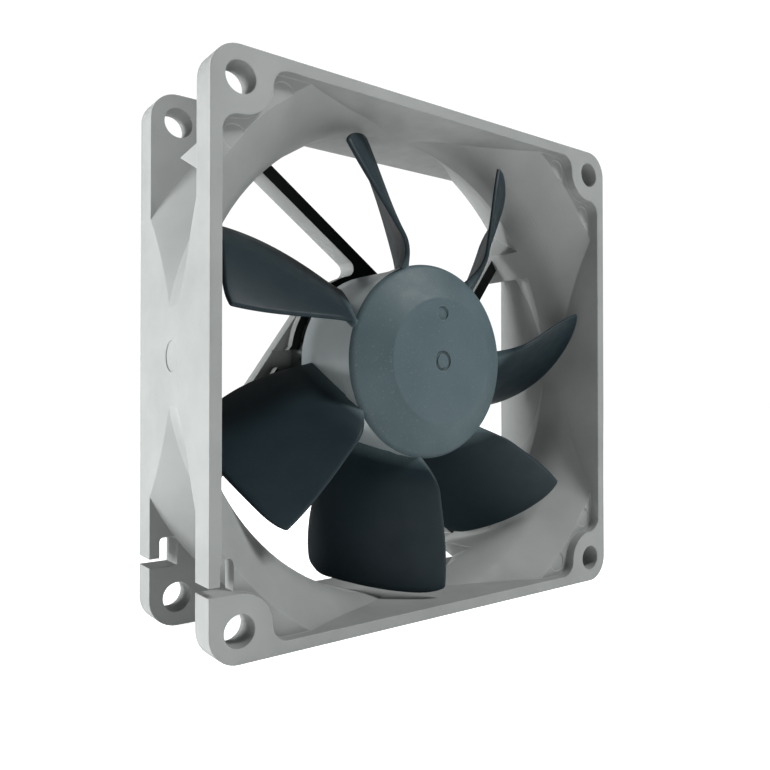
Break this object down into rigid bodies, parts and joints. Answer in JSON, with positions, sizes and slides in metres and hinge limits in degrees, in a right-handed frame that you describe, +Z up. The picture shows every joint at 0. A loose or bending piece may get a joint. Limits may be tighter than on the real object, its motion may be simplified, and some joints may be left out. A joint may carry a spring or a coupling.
{
  "type": "case_fan",
  "caption": "Square ducted axial case fan, 80 mm, upright: open frame with corner screw holes, slanted rear struts and a bladed impeller that spins on a brushless motor",
  "frame": {"origin": "Middle of the bottom edge surface of the square frame, half way between its front and rear faces, standing upright", "axes": "+X to the right as seen from the air inlet, +Y from the inlet (front) face to the outlet (rear) face along the fan axis, +Z up"},
  "size_m": [0.08, 0.025, 0.08],
  "materials": {
    "frame_plastic": "light grey moulded polyester, fine matte grain",
    "impeller_plastic": "dark slate blue-grey moulded polyester, satin",
    "brass_parts": "turned brass",
    "polished_steel": "ground and polished steel",
    "zinc_plated_steel": "drawn steel, dull zinc plate",
    "bonded_ferrite": "dark grey bonded ferrite, dull",
    "white_nylon": "natural white nylon",
    "sintered_bronze": "oil-soaked sintered bronze",
    "black_plastic": "black moulded epoxy and rubbery plastic, dull",
    "silicon_steel": "stamped silicon steel, clear varnish",
    "insulator_nylon": "cream glass-filled nylon",
    "enamelled_wire": "copper-coloured enamel, glossy",
    "tinned_metal": "tinned, bright",
    "board_laminate": "green solder mask on glass laminate",
    "capacitor_can": "bare aluminium can",
    "label_foil": "silver-grey blank label, satin"
  },
  "bodies": {
    "housing": {"frame": "frame_plastic", "bearing_tube": "brass_parts", "sleeve_bearing": "sintered_bronze", "oil_seal_ring": "white_nylon", "thrust_pad": "white_nylon", "bearing_plug": "black_plastic", "stator_core": "silicon_steel", "front_insulator": "insulator_nylon", "rear_insulator": "insulator_nylon", "coil_upper_right": "enamelled_wire", "coil_upper_left": "enamelled_wire", "coil_lower_left": "enamelled_wire", "coil_lower_right": "enamelled_wire", "terminal_pins": "tinned_metal", "circuit_board": "board_laminate", "hall_sensor": "black_plastic", "driver_chip": "black_plastic", "filter_capacitor": "capacitor_can", "chip_resistors": "black_plastic", "blocking_diode": "black_plastic", "solder_joints": "tinned_metal", "rear_label": "label_foil"},
    "rotor": {"impeller": "impeller_plastic", "shaft_bushing": "brass_parts", "rotor_shaft": "polished_steel", "rotor_yoke": "zinc_plated_steel", "ring_magnet": "bonded_ferrite", "retaining_clip": "white_nylon"}
  },
  "joints": [
    {"name": "rotor_spin", "type": "hinge", "parent": "housing", "child": "rotor", "pos_m": [0, 0, 0.04], "axis": [0, -1, 0], "continuous": true}
  ]
}
